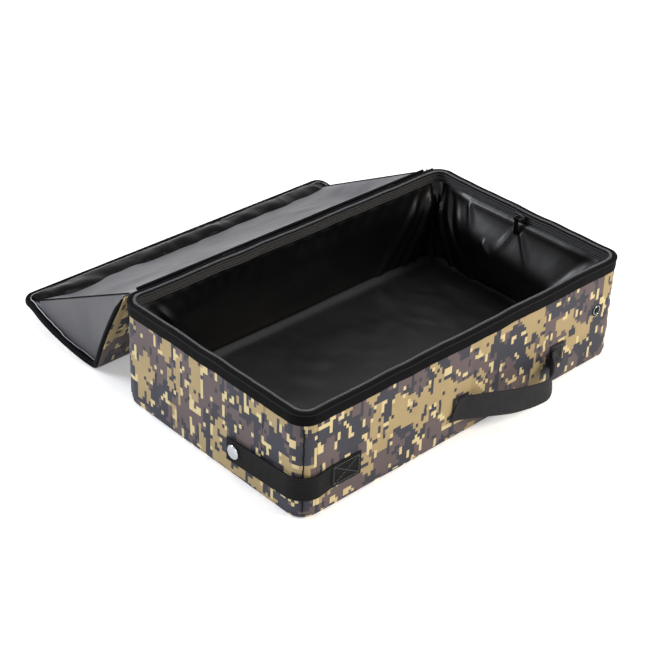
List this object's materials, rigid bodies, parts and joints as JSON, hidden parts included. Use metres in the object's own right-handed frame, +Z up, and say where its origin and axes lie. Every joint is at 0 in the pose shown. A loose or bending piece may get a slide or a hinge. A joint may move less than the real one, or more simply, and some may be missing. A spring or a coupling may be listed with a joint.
{
  "type": "foldable litter box",
  "caption": "Soft foldable litter box: a cloth tray with bound zip rim, loose waterproof liner, crease-folding walls, webbing handle, corner strap and a two-panel hinged lid.",
  "frame": {"origin": "middle of the flat underside of the tray", "axes": "+X along the long side towards the far short wall, +Y across the tray towards the lid hinge, +Z up"},
  "size_m": [0.4484, 0.4773, 0.1176],
  "materials": {
    "camo_cloth": "coated woven cloth with a digital camouflage print",
    "cased_board": "polyethylene stiffener board cased in woven cloth with a digital camouflage print",
    "stiffener_board": "plain board, hidden inside the cloth",
    "liner_film": "black waterproof coated cloth, glossy",
    "binding_tape": "black woven binding tape",
    "zip_tape": "black ribbed zip tape",
    "zip_nylon": "dark nylon zip coil",
    "slider_metal": "black painted die-cast metal",
    "pull_ribbon": "black woven ribbon",
    "webbing": "black woven webbing",
    "snap_metal": "nickel-plated pressed snap"
  },
  "bodies": {
    "root": {"base_cover": "camo_cloth", "base_board_left": "stiffener_board", "base_board_right": "stiffener_board", "liner": "liner_film", "front_left_gusset": "camo_cloth", "front_right_gusset": "camo_cloth", "back_left_gusset": "camo_cloth", "back_right_gusset": "camo_cloth"},
    "back_lower": {"back_wall_lower": "cased_board"},
    "back_upper": {"back_wall_upper": "cased_board"},
    "rim": {"rim_binding": "binding_tape", "rim_zip_tape": "zip_tape", "rim_zip_teeth": "zip_nylon"},
    "front_lower": {"front_wall_lower": "cased_board", "front_handle_patch_left": "webbing", "front_handle_patch_right": "webbing", "corner_strap_patch": "webbing"},
    "front_upper": {"front_wall_upper": "cased_board", "snap_stud": "snap_metal"},
    "left_lower": {"left_wall_lower": "cased_board"},
    "left_upper": {"left_wall_upper": "cased_board"},
    "right_lower": {"right_wall_lower": "cased_board"},
    "right_upper": {"right_wall_upper": "cased_board"},
    "lid_strip": {"lid_hinge_cord": "binding_tape", "lid_hinge_strip": "camo_cloth"},
    "lid_inner": {"lid_inner_panel": "cased_board", "lid_fold_cord": "binding_tape", "lid_inner_binding_left": "binding_tape", "lid_inner_binding_right": "binding_tape", "lid_inner_zip_left": "zip_nylon", "lid_inner_zip_right": "zip_nylon"},
    "lid_outer": {"lid_outer_panel": "cased_board", "lid_outer_binding": "binding_tape", "lid_outer_zip": "zip_nylon", "lid_lining": "liner_film"},
    "handle": {"front_handle": "webbing"},
    "strap": {"corner_strap": "webbing", "snap_cap": "snap_metal", "snap_socket": "snap_metal"},
    "slider": {"zip_slider": "slider_metal"},
    "pull": {"zip_pull": "pull_ribbon"}
  },
  "joints": [
    {"name": "collapse", "type": "hinge", "parent": "root", "child": "back_lower", "pos_m": [0, 0.126, 0.0061], "axis": [1, 0, 0], "range_deg": [0, 80], "deforming": ["front_left_gusset", "front_right_gusset", "back_left_gusset", "back_right_gusset", "liner", "front_handle", "corner_strap", "zip_pull", "lid_lining"]},
    {"name": "back_crease", "type": "hinge", "parent": "back_lower", "child": "back_upper", "pos_m": [0, 0.13, 0.0544], "axis": [1, 0, 0], "range_deg": [-160, 0]},
    {"name": "rim_level", "type": "hinge", "parent": "back_upper", "child": "rim", "pos_m": [0, 0.126, 0.1027], "axis": [1, 0, 0], "range_deg": [0, 80]},
    {"name": "front_fold", "type": "hinge", "parent": "root", "child": "front_lower", "pos_m": [0, -0.126, 0.0061], "axis": [-1, 0, 0], "range_deg": [0, 80]},
    {"name": "front_crease", "type": "hinge", "parent": "front_lower", "child": "front_upper", "pos_m": [0, -0.13, 0.0544], "axis": [-1, 0, 0], "range_deg": [-160, 0]},
    {"name": "left_fold", "type": "hinge", "parent": "root", "child": "left_lower", "pos_m": [-0.216, 0, 0.0061], "axis": [0, 1, 0], "range_deg": [0, 80]},
    {"name": "left_crease", "type": "hinge", "parent": "left_lower", "child": "left_upper", "pos_m": [-0.22, 0, 0.0544], "axis": [0, 1, 0], "range_deg": [-160, 0]},
    {"name": "right_fold", "type": "hinge", "parent": "root", "child": "right_lower", "pos_m": [0.216, 0, 0.0061], "axis": [0, -1, 0], "range_deg": [0, 80]},
    {"name": "right_crease", "type": "hinge", "parent": "right_lower", "child": "right_upper", "pos_m": [0.22, 0, 0.0544], "axis": [0, -1, 0], "range_deg": [-160, 0]},
    {"name": "lid_hinge", "type": "hinge", "parent": "rim", "child": "lid_strip", "pos_m": [0, 0.1334, 0.116], "axis": [-1, 0, 0], "range_deg": [-244, 0], "deforming": ["lid_lining"]},
    {"name": "lid_lift", "type": "hinge", "parent": "lid_strip", "child": "lid_inner", "pos_m": [0, 0.1461, 0.08882], "axis": [1, 0, 0], "range_deg": [0, 56.2]},
    {"name": "lid_fold", "type": "hinge", "parent": "lid_inner", "child": "lid_outer", "pos_m": [0, 0.18682, 0.0019], "axis": [-1, 0, 0], "range_deg": [0, 74.1]},
    {"name": "handle_lift", "type": "hinge", "parent": "front_lower", "child": "handle", "pos_m": [0, -0.133, 0.0485], "axis": [-1, 0, 0], "range_deg": [0, 70]},
    {"name": "strap_open", "type": "hinge", "parent": "root", "child": "strap", "pos_m": [-0.18515, -0.13185, 0.036], "axis": [0, 0, 1], "range_deg": [0, 100]},
    {"name": "zip_slide", "type": "slide", "parent": "rim", "child": "slider", "axis": [0, 1, 0], "range_m": [-0.1, 0.1]},
    {"name": "zip_pull_swing", "type": "hinge", "parent": "slider", "child": "pull", "pos_m": [0.2047, 0, 0.1085], "axis": [0, 1, 0], "range_deg": [-5, 160]}
  ],
  "couplings": [
    {"joint": "back_crease", "follows": "collapse", "ratio": -2},
    {"joint": "rim_level", "follows": "collapse", "ratio": 1},
    {"joint": "front_fold", "follows": "collapse", "ratio": 1},
    {"joint": "front_crease", "follows": "collapse", "ratio": -2},
    {"joint": "left_fold", "follows": "collapse", "ratio": 1},
    {"joint": "left_crease", "follows": "collapse", "ratio": -2},
    {"joint": "right_fold", "follows": "collapse", "ratio": 1},
    {"joint": "right_crease", "follows": "collapse", "ratio": -2},
    {"joint": "lid_lift", "follows": "collapse", "ratio": 0.7013},
    {"joint": "lid_fold", "follows": "lid_hinge", "ratio": -0.30328}
  ]
}
